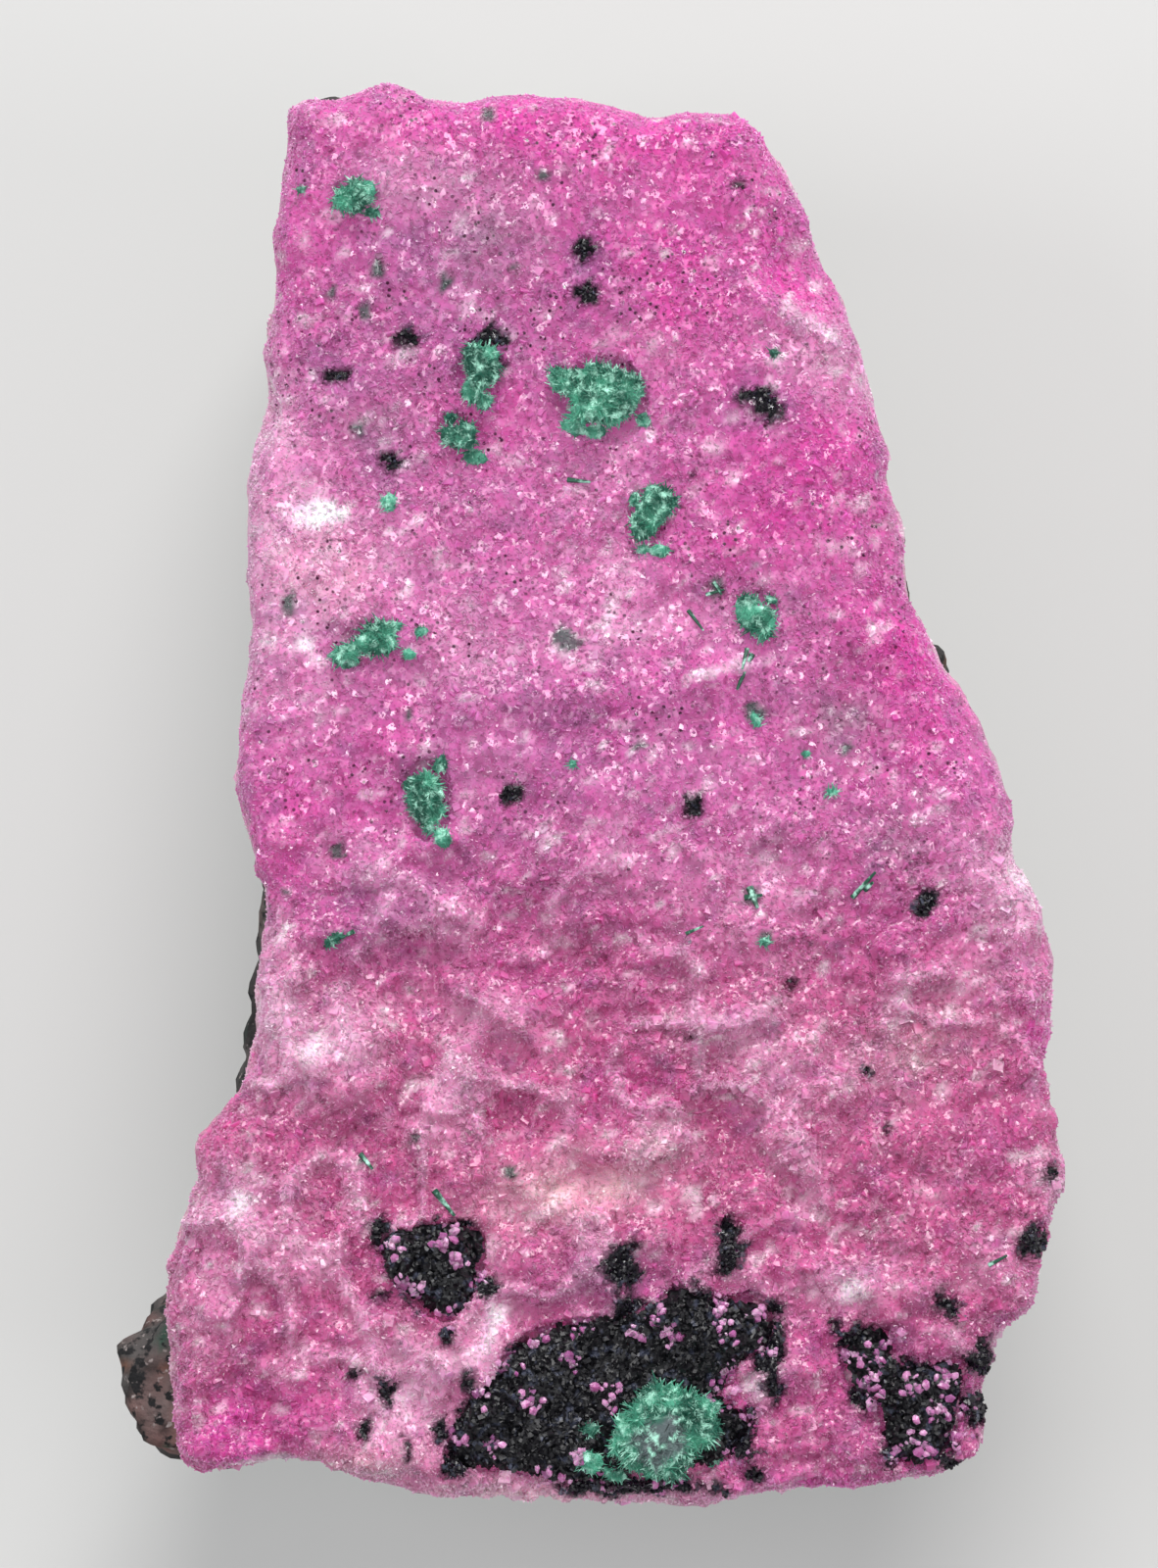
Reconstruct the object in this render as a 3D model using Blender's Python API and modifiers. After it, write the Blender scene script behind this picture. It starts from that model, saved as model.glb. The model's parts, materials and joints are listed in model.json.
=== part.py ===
"""Cobaltoan calcite specimen, lying on its flat back.

A pink drusy crust covers a slab of dark matrix rock. Black oxide lies in hollows
of the crust, and tufts of green malachite grow out of both. The drusy face looks
up (+Z), the narrow end points to +Y, and the origin is the middle of the
bounding box at the surface that the rock rests on.
"""

import math

import bmesh
import bpy
import numpy as np
from mathutils import Vector, noise

MM = 0.001

# Heights above the resting plane, in millimetres
INTERFACE_HEIGHT = 12.6      # where the crust meets the rock
CRUST_THICKNESS = 4.6
INTERFACE_WAVE = 1.0
GAP = 0.32                   # between pieces that grew against each other

# Edge rounding of the crust: a narrow roll all round, a broad slope on the right flank
EDGE_ROLL = 1.6
FLANK_ROLL = 4.2
FLANK_TOP = 24.0
FLANK_FOOT = -1.5

# Triangle budgets after the fine form is simplified
CRUST_TRIANGLES = 4300
ROCK_TRIANGLES = 1900
FINE_VOXEL = 0.42
ROCK_VOXEL = 0.70

# Outline of the pink crust, seen from above, in millimetres
CRUST_OUTLINE = [
    (-11.7, 26.7), (-10.7, 27.5), (-9.3, 27.4), (-7.4, 27.8), (-5.5, 27.2), (-2.0, 27.4),
    (0.9, 27.1), (2.8, 26.6), (4.1, 26.9), (6.5, 26.4), (7.7, 25.2), (8.8, 23.2),
    (9.5, 21.2), (10.8, 18.1), (11.4, 15.8), (12.2, 13.6), (12.1, 12.4), (12.8, 9.9),
    (12.9, 8.0), (14.1, 5.7), (15.3, 3.6), (16.4, 1.3), (17.1, -1.2), (16.9, -2.5),
    (18.2, -4.4), (18.7, -6.3), (18.6, -8.8), (18.3, -11.1), (18.9, -13.9), (18.7, -16.1),
    (18.1, -18.6), (17.6, -20.4), (16.5, -21.3), (15.7, -23.8), (15.9, -25.4), (14.4, -26.8),
    (12.5, -27.1), (9.6, -27.4), (6.4, -27.8), (3.3, -28.1), (0.1, -28.0), (-2.0, -27.7),
    (-5.6, -27.8), (-7.4, -27.0), (-9.4, -26.8), (-10.7, -26.1), (-13.4, -26.6), (-15.5, -26.5),
    (-16.1, -24.8), (-16.3, -22.0), (-16.4, -18.9), (-15.8, -16.8), (-15.2, -15.3), (-15.4, -13.8),
    (-13.8, -12.2), (-13.0, -10.1), (-12.8, -7.1), (-12.5, -4.0), (-13.3, -1.6), (-13.8, 0.7),
    (-13.3, 3.8), (-13.1, 6.6), (-13.3, 10.5), (-13.1, 12.9), (-12.3, 15.2), (-12.6, 17.1),
    (-12.1, 19.6), (-12.2, 21.3), (-11.9, 23.4), (-11.5, 25.2),
]

# Outline of the matrix rock: inside the crust, but for the lobe at lower left and a few swells
ROCK_OUTLINE = [
    (-11.3, 26.8), (-10.7, 27.8), (-8.6, 28.0), (-7.4, 27.6), (-4.0, 27.0), (1.4, 27.1),
    (3.9, 27.0), (6.0, 25.6), (8.0, 22.6), (9.6, 18.4), (10.9, 14.6), (12.3, 12.0),
    (13.1, 9.6), (13.0, 8.2), (14.2, 5.2), (16.0, 1.0), (17.1, -1.0), (16.6, -3.6),
    (17.8, -7.0), (17.6, -12.0), (17.9, -15.5), (17.2, -19.6), (15.4, -22.0), (15.1, -25.2),
    (13.0, -26.7), (8.4, -27.2), (3.0, -27.4), (-4.0, -27.1), (-9.6, -26.4), (-11.4, -26.6),
    (-15.4, -26.8), (-17.4, -26.4), (-18.2, -25.4), (-18.7, -23.9), (-18.7, -22.8), (-17.8, -21.6),
    (-16.4, -20.8), (-15.9, -18.6), (-14.7, -15.6), (-14.0, -12.8), (-13.6, -10.4), (-13.6, -8.4),
    (-12.9, -6.2), (-12.9, -3.0), (-12.9, 0.6), (-13.2, 4.4), (-13.4, 7.2), (-13.4, 10.2),
    (-12.4, 13.6), (-12.3, 16.0), (-11.7, 20.4), (-11.3, 24.6),
]

# Low ridges and ledges of the crust: two ends, height and width, in millimetres
RIDGES = [
    ((-4.2, 3.4), (6.6, 4.7), 0.35, 0.9),
    ((-7.6, -2.6), (-5.2, -1.7), 0.55, 0.5),
    ((-4.8, -7.6), (-2.2, -9.2), 0.75, 0.6),
    ((3.4, -10.2), (6.4, -8.4), 0.55, 0.8),
    ((-4.8, -11.0), (-4.0, -14.4), 0.50, 0.6),
    ((-2.4, -15.0), (3.6, -13.2), 0.60, 0.8),
    ((-12.2, -9.0), (-9.6, -11.0), 0.60, 1.1),
    ((8.6, -18.6), (13.0, -19.2), 0.50, 0.9),
    ((-15.0, -17.0), (-12.0, -18.0), 0.45, 1.2),
    ((-6.0, -22.6), (-4.6, -19.6), 0.45, 0.8),
    ((7.4, 19.2), (10.4, 17.0), 0.45, 0.7),
]

# Hollows and broken pits of the crust: centre, radius and depth, in millimetres
HOLLOWS = [
    ((-8.6, -2.4), 1.9, 0.45), ((-2.2, -6.0), 2.2, 0.45), ((-6.4, -6.8), 1.8, 0.50),
    ((0.6, -9.8), 2.0, 0.50), ((9.6, -8.0), 1.6, 0.50), ((7.4, -3.6), 1.7, 0.35),
    ((0.2, -15.1), 1.2, 1.00), ((2.9, -13.3), 0.6, 1.10), ((-9.2, -14.6), 1.5, 0.45),
    ((-6.6, -23.8), 1.7, 0.80), ((-13.0, -24.3), 1.8, 0.90), ((8.3, 20.1), 1.2, 0.40),
    ((11.0, 4.0), 1.5, 0.40), ((3.6, -27.2), 0.9, 0.60), ((12.4, 14.2), 1.1, 0.30),
]

# Fracture faces of the rock: the middle of each, in millimetres, and the way it faces
FRACTURES = [
    ((-12.0, 8.0, 7.0), (-1.0, 0.10, -0.45)),
    ((-11.0, 23.5, 5.5), (-0.8, 0.5, -0.50)),
    ((-2.0, 26.2, 6.0), (0.05, 1.0, -0.40)),
    ((7.0, 22.6, 6.5), (0.9, 0.7, -0.50)),
    ((11.6, 9.0, 6.0), (1.0, 0.30, -0.40)),
    ((15.6, -3.0, 7.5), (1.0, 0.1, -0.45)),
    ((16.7, -14.5, 6.0), (1.0, -0.1, -0.40)),
    ((13.6, -24.6, 6.5), (0.8, -0.8, -0.50)),
    ((2.0, -26.4, 7.5), (0.0, -1.0, -0.30)),
    ((-8.0, -25.4, 5.5), (-0.2, -1.0, -0.50)),
    ((-17.0, -23.6, 7.5), (-1.0, -0.3, -0.60)),
    ((-14.0, -14.0, 6.0), (-1.0, 0.3, -0.45)),
    ((-12.0, -3.5, 6.0), (-1.0, -0.05, -0.50)),
]
FRACTURE_REACH = 8.5         # how far each face runs before its neighbours take over

# Black oxide patches: outlines in millimetres
OXIDE_PATCHES = {
    "black_oxide_large": [
        (-5.2, -26.0), (-5.0, -24.8), (-4.5, -23.6), (-3.1, -22.2), (-2.0, -21.2), (-0.3, -20.6),
        (1.4, -20.3), (2.7, -20.1), (3.9, -19.1), (5.0, -19.7), (7.0, -19.8), (7.3, -21.0),
        (6.2, -22.4), (5.3, -23.6), (6.6, -24.4), (5.9, -25.6), (4.6, -26.6), (1.0, -26.9),
        (-2.6, -26.6),
    ],
    "black_oxide_round": [
        (-7.8, -17.2), (-6.2, -16.8), (-4.2, -17.0), (-3.8, -18.2), (-4.4, -19.8), (-5.2, -20.6),
        (-6.6, -19.8), (-7.6, -18.7),
    ],
    "black_oxide_corner": [
        (10.2, -21.6), (11.4, -20.9), (12.2, -21.2), (12.0, -22.4), (13.6, -22.3), (15.0, -22.0),
        (14.9, -23.2), (14.6, -24.8), (13.9, -26.0), (12.6, -26.2), (11.8, -25.0), (11.6, -23.8),
        (10.4, -22.9),
    ],
}
OXIDE_DEPTH = 1.5
OXIDE_SUNK = 0.12

# Malachite tufts on the crust: centre, the two half widths, turn in degrees, height
TUFTS = {
    "malachite_tuft_middle": ((0.8, 15.3), (1.60, 1.35), -15, 1.0),
    "malachite_tuft_neck": ((-4.1, 16.3), (0.65, 0.95), -10, 0.8),
    "malachite_tuft_left_pair": ((-4.7, 14.0), (0.80, 0.60), -35, 0.7),
    "malachite_tuft_right": ((2.4, 10.6), (0.65, 1.15), -10, 0.8),
    "malachite_tuft_shoulder": ((6.8, 7.1), (0.60, 0.70), 0, 0.6),
    "malachite_tuft_diagonal": ((-8.6, 5.8), (1.15, 0.55), 32, 0.6),
    "malachite_tuft_upright": ((-6.0, -0.3), (0.72, 1.45), 5, 1.0),
    "malachite_tuft_top": ((-8.9, 23.2), (0.75, 0.50), -8, 0.6),
}
# The big malachite knob that stands in the large black patch
KNOB = ((3.2, -24.9), (2.15, 1.75), 25, 1.7)

COLOURS = {
    "calcite": ((0.78, 0.22, 0.50), 0.35),
    "rock": ((0.13, 0.12, 0.11), 0.85),
    "oxide": ((0.012, 0.013, 0.018), 0.55),
    "malachite": ((0.05, 0.36, 0.22), 0.60),
}


def clear_scene():
    for obj in list(bpy.data.objects):
        bpy.data.objects.remove(obj, do_unlink=True)


def collection(name):
    made = bpy.data.collections.new(name)
    bpy.context.scene.collection.children.link(made)
    return made


def material(name):
    """One Principled material for each mineral."""
    colour, roughness = COLOURS[name]
    made = bpy.data.materials.new(name)
    made.use_nodes = True
    shader = made.node_tree.nodes["Principled BSDF"]
    shader.inputs["Base Color"].default_value = (*colour, 1.0)
    shader.inputs["Roughness"].default_value = roughness
    made.diffuse_color = (*colour, 1.0)
    return made


def settled(obj):
    """The object with its modifiers made part of its mesh."""
    depsgraph = bpy.context.evaluated_depsgraph_get()
    mesh = bpy.data.meshes.new_from_object(obj.evaluated_get(depsgraph))
    matrix = obj.matrix_world.copy()
    name = obj.name
    group = obj.users_collection[0]
    bpy.data.objects.remove(obj, do_unlink=True)
    solid = bpy.data.objects.new(name, mesh)
    solid.matrix_world = matrix
    group.objects.link(solid)
    weld(solid)
    return solid


def weld(obj, distance=0.001 * MM):
    mesh = bmesh.new()
    mesh.from_mesh(obj.data)
    bmesh.ops.remove_doubles(mesh, verts=mesh.verts, dist=distance)
    bmesh.ops.recalc_face_normals(mesh, faces=mesh.faces)
    mesh.to_mesh(obj.data)
    mesh.free()


def smooth_line(points, steps=3):
    """A closed Catmull-Rom line through the points."""
    count = len(points)
    line = []
    for i in range(count):
        p0, p1, p2, p3 = (Vector(points[(i + k) % count]) for k in (-1, 0, 1, 2))
        for j in range(steps):
            t = j / steps
            bend = (2 * p0 - 5 * p1 + 4 * p2 - p3) * t * t
            twist = (3 * p1 - p0 - 3 * p2 + p3) * t ** 3
            line.append((2 * p1 + (p2 - p0) * t + bend + twist) / 2)
    return line


def slab(name, outline, low, high, group):
    """A flat slab of that outline between two heights, all in millimetres."""
    curve = bpy.data.curves.new(name, "CURVE")
    curve.dimensions = "2D"
    curve.fill_mode = "BOTH"
    curve.extrude = (high - low) / 2 * MM
    spline = curve.splines.new("POLY")
    spline.points.add(len(outline) - 1)
    for point, (x, y) in zip(spline.points, outline):
        point.co = (x * MM, y * MM, 0, 1)
    spline.use_cyclic_u = True
    obj = bpy.data.objects.new(name, curve)
    obj.location.z = (high + low) / 2 * MM
    group.objects.link(obj)
    bpy.context.view_layer.update()
    solid = settled(obj)
    solid.data.transform(solid.matrix_world)
    solid.matrix_world.identity()
    return solid


def remeshed(obj, voxel):
    step = obj.modifiers.new("even faces", "REMESH")
    step.mode = "VOXEL"
    step.voxel_size = voxel * MM
    return settled(obj)


def simplified(obj, triangles):
    """Collapses the fine mesh to that many triangles, which keeps flats and creases."""
    obj.data.calc_loop_triangles()
    step = obj.modifiers.new("fewer faces", "DECIMATE")
    step.ratio = triangles / len(obj.data.loop_triangles)
    step.use_collapse_triangulate = True
    return settled(obj)


def reshaped(obj, shape):
    """Moves every vertex by shape, which takes and gives an array in millimetres."""
    mesh = obj.data
    places = np.empty(len(mesh.vertices) * 3, np.float32)
    mesh.vertices.foreach_get("co", places)
    moved = shape(places.reshape(-1, 3).astype(float) / MM) * MM
    mesh.vertices.foreach_set("co", moved.astype(np.float32).ravel())
    mesh.update()


def edge_distance(places, outline):
    """Each point's distance to the outline, seen from above."""
    ends = np.array([tuple(p) for p in outline])
    starts, sides = ends, np.roll(ends, -1, axis=0) - ends
    nearest = np.full(len(places), 1e9)
    for start, side in zip(starts, sides):
        offset = places[:, :2] - start
        along = np.clip(offset @ side / (side @ side), 0, 1)
        nearest = np.minimum(nearest, np.linalg.norm(offset - along[:, None] * side, axis=1))
    return nearest


def ramp(value, low, high):
    t = np.clip((value - low) / (high - low), 0, 1)
    return t * t * (3 - 2 * t)


def field(places, size, seed, octaves=3):
    """Fractal noise of about -1 to 1, with features of that size."""
    shift = Vector((seed * 7.31, seed * 3.17, seed * 1.73))
    return np.array([noise.fractal(Vector(p) / size + shift, 1.0, 2.0, octaves) for p in places])


def cobbles(places, size, seed):
    """Faceted lumps like grown crystals: 1 on each crest, 0 in the seams between them."""
    shift = Vector((seed * 5.3, seed * 2.9, seed * 4.1))
    crests = np.empty(len(places))
    for i, p in enumerate(places):
        distances, _ = noise.voronoi(Vector(p) / size + shift, distance_metric="MANHATTAN")
        crests[i] = min(1.0, distances[1] - distances[0])
    return crests


def interface(places):
    """Height of the boundary between crust and rock, a slow swell."""
    x, y = places[:, 0], places[:, 1]
    return INTERFACE_HEIGHT + INTERFACE_WAVE * np.sin(x / 5.3 + 0.6) * np.cos(y / 7.1)


def ridge_height(places):
    total = np.zeros(len(places))
    for start, end, height, width in RIDGES:
        a, side = np.array(start), np.subtract(end, start)
        offset = places[:, :2] - a
        along = np.clip(offset @ side / (side @ side), 0, 1)
        away = np.linalg.norm(offset - along[:, None] * side, axis=1)
        total += height * np.exp(-((away / width) ** 2))
    return total


def hollow_depth(places):
    total = np.zeros(len(places))
    for centre, radius, depth in HOLLOWS:
        away = np.linalg.norm(places[:, :2] - np.array(centre), axis=1)
        total += depth * np.exp(-((away / radius) ** 4))
    return total


def face_relief(flat):
    """Relief of the drusy face: calm above, rugged below, with ridges, pits and lumps."""
    rugged = 0.45 + 0.55 * ramp(-flat[:, 1], -2.0, 9.0)
    swell = 0.65 * field(flat, 13.0, 1) + 0.40 * rugged * field(flat, 4.5, 2)
    lumps = 0.62 * rugged * cobbles(flat, 2.3, 3)
    return swell + lumps + ridge_height(flat) - hollow_depth(flat)


def crust_form(outline):
    """The crust's shape: a wavy underside, a broken side wall and the drusy face."""
    middle = INTERFACE_HEIGHT + CRUST_THICKNESS / 2

    def form(places):
        moved = places.copy()
        flat = places * (1, 1, 0)
        inside = edge_distance(places, outline)
        flank = ramp(places[:, 0], 4.0, 9.0) * ramp(places[:, 1], FLANK_FOOT, 4.0)
        flank *= ramp(-places[:, 1], -FLANK_TOP - 3, -FLANK_TOP + 3)
        roll = EDGE_ROLL + (FLANK_ROLL - EDGE_ROLL) * flank
        short = np.clip(1 - inside / roll, 0, 1)
        drop = (1 - np.sqrt(1 - short ** 2)) * (0.9 * EDGE_ROLL + 1.2 * flank)
        up = ramp(places[:, 2], middle - 1.0, middle + 1.8)
        down = ramp(-places[:, 2], -middle, -middle + 2.0)
        moved[:, 2] += up * (face_relief(flat) - drop)
        moved[:, 2] += down * (interface(places) - INTERFACE_HEIGHT)
        wall = ramp(1.0 - inside, 0.2, 0.9) * (1 - down)
        outward = places[:, :2] / np.linalg.norm(places[:, :2], axis=1)[:, None]
        rough = 0.30 * field(places, 2.2, 5) - 0.12
        moved[:, :2] += outward * (rough * wall)[:, None]
        return moved

    return form


def fractured(places):
    """The points with all that stands proud of a fracture face brought back onto it."""
    moved = places.copy()
    for point, facing in FRACTURES:
        normal = np.array(facing) / np.linalg.norm(facing)
        level = np.append(normal[:2], 0) / np.linalg.norm(normal[:2])
        away = np.linalg.norm(places[:, :2] - np.array(point)[:2], axis=1)
        beyond = np.clip((moved - point) @ normal, 0, None) / (level @ normal)
        beyond *= 1 - ramp(away, 0.6 * FRACTURE_REACH, FRACTURE_REACH)
        moved -= beyond[:, None] * level
    return moved


def rock_form(places):
    """The rock's shape: sawn flat below, fractured walls that draw in towards the base."""
    moved = places.copy()
    height = places[:, 2] / INTERFACE_HEIGHT
    side = ramp(np.linalg.norm(places[:, :2] / (15.5, 25.5), axis=1), 0.80, 0.95)
    flat = places * (1, 1, 0)
    draw_in = 0.045 + 0.030 * field(flat, 7.0, 8)
    scale = 1 - np.clip(draw_in, 0.0, 0.09) * np.clip(1 - height, 0, 1) ** 1.6
    moved[:, :2] *= scale[:, None]
    moved = fractured(moved)
    chips = 1.0 * (cobbles(places, 4.2, 9) - 0.45) + 0.50 * field(places, 2.6, 10)
    outward = places[:, :2] / np.linalg.norm(places[:, :2], axis=1)[:, None]
    waist = ramp(height, 0.02, 0.15) * (1 - ramp(height, 0.80, 0.96))
    moved[:, :2] += outward * ((chips - 0.30) * side * waist)[:, None]
    upper = ramp(height, 0.75, 0.98)
    moved[:, 2] += upper * (interface(places) - INTERFACE_HEIGHT)
    return moved


def inset(outline, amount):
    """The outline moved in (or out, below zero) along its own corner normals."""
    count = len(outline)
    turned = []
    for i in range(count):
        before, here, after = (Vector(outline[(i + k) % count]) for k in (-1, 0, 1))
        along = (after - before).normalized()
        turned.append(tuple(here + Vector((along.y, -along.x)) * amount))
    return turned


def is_clockwise(outline):
    area = sum(a[0] * b[1] - b[0] * a[1] for a, b in zip(outline, outline[1:] + outline[:1]))
    return area < 0


def lump(name, centre, half_widths, turn, low, high, seed, group, swell=0.0):
    """A knobbly flattened ball between two heights; swell makes it larger all round."""
    middle, half = (low + high) / 2, (high - low) / 2
    rounds = 3 if max(half_widths) > 1.5 else 2
    bpy.ops.mesh.primitive_ico_sphere_add(subdivisions=rounds, radius=1.0)
    obj = bpy.context.object
    obj.name = name
    for old in obj.users_collection:
        old.objects.unlink(obj)
    group.objects.link(obj)
    angle = math.radians(turn)
    for vertex in obj.data.vertices:
        way = vertex.co.normalized()
        rough = 1 + 0.16 * noise.fractal(way * 1.7 + Vector((seed, 0, 0)), 1.0, 2.0, 2)
        x = way.x * (half_widths[0] * rough + swell)
        y = way.y * (half_widths[1] * rough + swell)
        vertex.co.x = (centre[0] + x * math.cos(angle) - y * math.sin(angle)) * MM
        vertex.co.y = (centre[1] + x * math.sin(angle) + y * math.cos(angle)) * MM
        vertex.co.z = (middle + way.z * (half * (1 + (rough - 1) / 2) + swell)) * MM
    obj.data.update()
    return obj


def cut(obj, cutter):
    """Subtracts the cutter, which stays in its own collection as a guide."""
    step = obj.modifiers.new("seat of " + cutter.name, "BOOLEAN")
    step.operation = "DIFFERENCE"
    step.solver = "EXACT"
    step.object = cutter
    cutter.hide_render = True
    cutter.display_type = "WIRE"
    bpy.context.view_layer.update()


def surface_height(obj, x, y):
    """Height in millimetres of the object's highest face at that place."""
    start = Vector((x * MM, y * MM, 1.0))
    hit, place, _, _ = obj.ray_cast(start, Vector((0, 0, -1)))
    return place.z / MM if hit else INTERFACE_HEIGHT + CRUST_THICKNESS


def make_crust(group):
    outline = smooth_line(CRUST_OUTLINE)
    top = INTERFACE_HEIGHT + CRUST_THICKNESS
    crust = slab("calcite_crust", outline, INTERFACE_HEIGHT, top, group)
    crust = remeshed(crust, FINE_VOXEL)
    reshaped(crust, crust_form(outline))
    return simplified(crust, CRUST_TRIANGLES)


def make_rock(group):
    top = INTERFACE_HEIGHT - GAP
    rock = slab("matrix_rock", smooth_line(ROCK_OUTLINE, 2), 0.0, top, group)
    rock = remeshed(rock, ROCK_VOXEL)
    reshaped(rock, rock_form)
    rock = remeshed(rock, ROCK_VOXEL / 2)
    return simplified(rock, ROCK_TRIANGLES)


def make_oxide(name, outline, seat, group, cutters):
    """A black patch in its recess: the recess is cut into seat, and the patch fills it."""
    if not is_clockwise(outline):
        outline = outline[::-1]
    face = np.mean([surface_height(seat, x, y) for x, y in outline])
    low = face - OXIDE_DEPTH
    base = low + GAP
    line = smooth_line(outline, 2)
    recess = slab("recess_" + name, line, low, face + 4, cutters)
    patch = slab(name, inset(line, GAP), base, face, group)
    patch = remeshed(patch, 0.5)

    def form(places):
        moved = places.copy()
        around = np.array([surface_height(seat, x, y) for x, y, _ in places])
        top = around - OXIDE_SUNK + 0.40 * (cobbles(places * (1, 1, 0), 1.4, 12) - 0.5)
        share = (places[:, 2] - base) / (face - base)
        moved[:, 2] = base + share * (top - base)
        return moved

    reshaped(patch, form)
    patch = simplified(patch, 24 * len(outline))
    cut(seat, recess)
    return patch


def make_tuft(name, spec, seat, group, cutters, seed):
    """A malachite tuft half sunk in a pocket of what it grows from."""
    centre, half_widths, turn, height = spec
    face = surface_height(seat, *centre)
    low, high = face - 0.55 * height, face + 0.85 * height
    seat_name = "pocket_" + name
    pocket = lump(seat_name, centre, half_widths, turn, low, high, seed, cutters, swell=GAP)
    tuft = lump(name, centre, half_widths, turn, low, high, seed, group)
    cut(seat, pocket)
    return tuft


def recentre(objects, guides):
    """Puts the origin under the middle of the bounding box, on the resting plane."""
    corners = np.array([v.co for obj in objects for v in obj.data.vertices])
    low, high = corners.min(0), corners.max(0)
    shift = Vector((-(low[0] + high[0]) / 2, -(low[1] + high[1]) / 2, -low[2]))
    for obj in [*objects, *guides]:
        for vertex in obj.data.vertices:
            vertex.co += shift
        obj.data.update()


def finish(obj, mineral, materials, smooth_angle=32):
    obj.data.materials.clear()
    obj.data.materials.append(materials[mineral])
    obj.data.shade_smooth()
    obj.data.set_sharp_from_angle(angle=math.radians(smooth_angle))


def main():
    clear_scene()
    specimen = collection("cobaltoan_calcite_specimen")
    cutters = collection("cutters")
    materials = {name: material(name) for name in COLOURS}

    rock = make_rock(specimen)
    crust = make_crust(specimen)
    patches = {}
    for name, outline in OXIDE_PATCHES.items():
        patches[name] = make_oxide(name, outline, crust, specimen, cutters)
    crust = settled(crust)
    tufts = []
    for seed, (name, spec) in enumerate(TUFTS.items()):
        tufts.append(make_tuft(name, spec, crust, specimen, cutters, seed))
    crust = settled(crust)
    host = patches["black_oxide_large"]
    tufts.append(make_tuft("malachite_knob", KNOB, host, specimen, cutters, 21))
    patches["black_oxide_large"] = settled(host)

    finish(rock, "rock", materials)
    finish(crust, "calcite", materials)
    for patch in patches.values():
        finish(patch, "oxide", materials)
    for tuft in tufts:
        finish(tuft, "malachite", materials)
    recentre([rock, crust, *patches.values(), *tufts], list(cutters.objects))


main()
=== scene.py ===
import json
import math

import bmesh
import bpy
import numpy as np
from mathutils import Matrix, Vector

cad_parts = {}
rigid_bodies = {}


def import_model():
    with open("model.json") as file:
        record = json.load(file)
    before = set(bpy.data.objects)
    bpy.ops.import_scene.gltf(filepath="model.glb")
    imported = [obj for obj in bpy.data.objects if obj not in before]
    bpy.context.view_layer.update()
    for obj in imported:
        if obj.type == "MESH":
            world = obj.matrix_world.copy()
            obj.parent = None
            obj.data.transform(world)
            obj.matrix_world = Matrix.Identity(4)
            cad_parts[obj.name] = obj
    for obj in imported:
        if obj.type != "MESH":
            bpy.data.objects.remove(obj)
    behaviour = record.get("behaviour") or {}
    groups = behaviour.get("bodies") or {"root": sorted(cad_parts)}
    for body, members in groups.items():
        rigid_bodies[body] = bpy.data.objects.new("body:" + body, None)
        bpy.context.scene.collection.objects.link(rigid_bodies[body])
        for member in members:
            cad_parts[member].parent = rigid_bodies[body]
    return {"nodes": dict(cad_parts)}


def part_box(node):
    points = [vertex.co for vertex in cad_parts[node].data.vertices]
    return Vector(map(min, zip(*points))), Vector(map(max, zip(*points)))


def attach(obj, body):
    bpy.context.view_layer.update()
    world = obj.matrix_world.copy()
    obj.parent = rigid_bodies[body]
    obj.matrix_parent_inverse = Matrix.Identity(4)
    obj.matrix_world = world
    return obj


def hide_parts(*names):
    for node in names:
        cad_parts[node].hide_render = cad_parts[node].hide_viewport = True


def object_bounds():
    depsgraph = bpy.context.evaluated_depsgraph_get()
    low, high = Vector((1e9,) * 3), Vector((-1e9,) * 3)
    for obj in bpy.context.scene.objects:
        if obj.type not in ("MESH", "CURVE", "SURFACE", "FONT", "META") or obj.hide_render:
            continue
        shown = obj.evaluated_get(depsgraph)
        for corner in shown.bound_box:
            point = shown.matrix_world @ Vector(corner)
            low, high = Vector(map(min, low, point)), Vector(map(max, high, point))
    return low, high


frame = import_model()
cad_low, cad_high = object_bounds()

MM = 0.001


# The matrix rock: dark, fine-grained wall rock that the minerals grew on, with a flat back
# and broken sides. Its lobe at lower left and a few swells show beyond the pink crust.
ROCK_VOXEL = 0.40 * MM
ROCK_CHIP = 0.50             # millimetres that the broken sides stand in and out


def rgb(red, green, blue):
    """A screen colour of 0 to 255 as the linear one that shaders use."""
    share = np.array([red, green, blue]) / 255
    return np.where(share <= 0.04045, share / 12.92, ((share + 0.055) / 1.055) ** 2.4)


def scrambled(cells, seed):
    """A repeatable number from 0 to 1 for each whole-numbered cell."""
    mixed = cells @ np.array([127.1, 311.7, 74.7]) + seed * 53.3
    return np.modf(np.abs(np.sin(mixed) * 43758.5453))[0]


def drift(places, size, seed):
    """Smooth noise from -1 to 1 with features of that many millimetres."""
    spot = places / size + seed * 3.7
    corner = np.floor(spot)
    part = spot - corner
    part = part * part * (3 - 2 * part)
    total = np.zeros(len(places))
    for step in np.ndindex(2, 2, 2):
        weight = np.prod(np.where(step, part, 1 - part), axis=1)
        total += weight * scrambled(corner + step, seed)
    return 2 * total - 1


def crests(places, size, seed):
    """Grown lumps: 1 on each crest and 0 in the seams between them."""
    spot = places / size + seed * 1.9
    corner = np.floor(spot)
    first, second = np.full(len(places), 9.0), np.full(len(places), 9.0)
    for step in np.ndindex(3, 3, 3):
        cell = corner + np.array(step) - 1
        seat = cell + np.stack([scrambled(cell, seed + k) for k in (1, 2, 3)], axis=1)
        away = np.linalg.norm(seat - spot, axis=1)
        second = np.minimum(second, np.maximum(first, away))
        first = np.minimum(first, away)
    return np.clip(second - first, 0, 1)


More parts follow.
